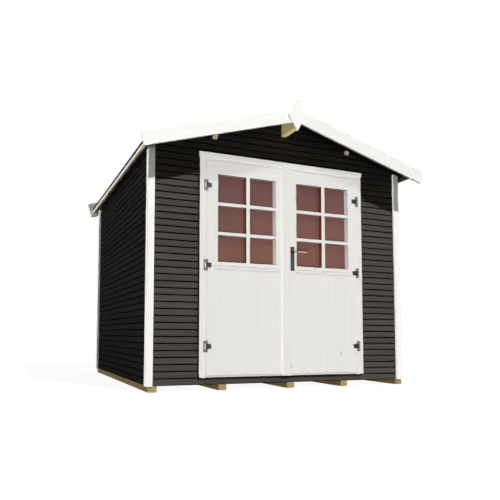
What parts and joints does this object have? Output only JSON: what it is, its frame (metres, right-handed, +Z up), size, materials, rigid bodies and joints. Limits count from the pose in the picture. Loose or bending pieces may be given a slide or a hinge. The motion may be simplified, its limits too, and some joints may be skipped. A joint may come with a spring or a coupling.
{
  "type": "garden shed",
  "caption": "Gabled timber garden shed with dark boarded walls, white corner boards and bargeboards, a felt roof and a pair of white half-glazed doors that open outwards.",
  "frame": {"origin": "on the ground, in the middle of the plan under the roof", "axes": "+Z up, -Y towards someone facing the doors, +X to their right"},
  "size_m": [2.6896, 2.632, 2.4538],
  "materials": {
    "dark_boards": "dark grey stain on grooved softwood boards",
    "white_wood": "white paint on softwood",
    "pine": "bare softwood",
    "felt": "mineral roofing felt",
    "pane": "clear window glass",
    "hinge_metal": "dark painted steel",
    "handle_metal": "satin steel"
  },
  "bodies": {
    "shed": {"batten_1": "pine", "batten_2": "pine", "batten_3": "pine", "batten_4": "pine", "batten_5": "pine", "floor": "pine", "front_sill": "dark_boards", "front_wall_left": "dark_boards", "front_wall_right": "dark_boards", "front_gable": "dark_boards", "left_wall": "dark_boards", "right_wall": "dark_boards", "back_wall": "dark_boards", "front_left_corner_boards": "white_wood", "front_right_corner_boards": "white_wood", "back_left_corner_boards": "white_wood", "back_right_corner_boards": "white_wood", "door_frame": "white_wood", "door_casing": "white_wood", "ridge_purlin": "pine", "left_purlin": "pine", "right_purlin": "pine", "left_roof_boards": "pine", "right_roof_boards": "pine", "left_fascia": "white_wood", "right_fascia": "white_wood", "roof_felt": "felt", "front_left_bargeboard": "white_wood", "front_right_bargeboard": "white_wood", "back_left_bargeboard": "white_wood", "back_right_bargeboard": "white_wood", "front_finial": "white_wood", "back_finial": "white_wood", "left_hinge_plates": "hinge_metal", "right_hinge_plates": "hinge_metal"},
    "left_door": {"left_leaf": "white_wood", "left_glass": "pane", "left_hinge_straps": "hinge_metal"},
    "right_door": {"right_leaf": "white_wood", "right_glass": "pane", "right_hinge_straps": "hinge_metal", "handle_plates": "handle_metal"},
    "door_handle": {"lever_handle": "handle_metal"}
  },
  "joints": [
    {"name": "left_door_swing", "type": "hinge", "parent": "shed", "child": "left_door", "pos_m": [-0.7335, -1.114, 1], "axis": [0, 0, -1], "range_deg": [0, 140]},
    {"name": "right_door_swing", "type": "hinge", "parent": "shed", "child": "right_door", "pos_m": [0.7335, -1.114, 1], "axis": [0, 0, 1], "range_deg": [0, 140]},
    {"name": "handle_turn", "type": "hinge", "parent": "right_door", "child": "door_handle", "pos_m": [0.066, -1.085, 1.165], "axis": [0, 1, 0], "range_deg": [0, 45], "stiffness_Nm_per_rad": 2, "springref_deg": -14.32}
  ]
}
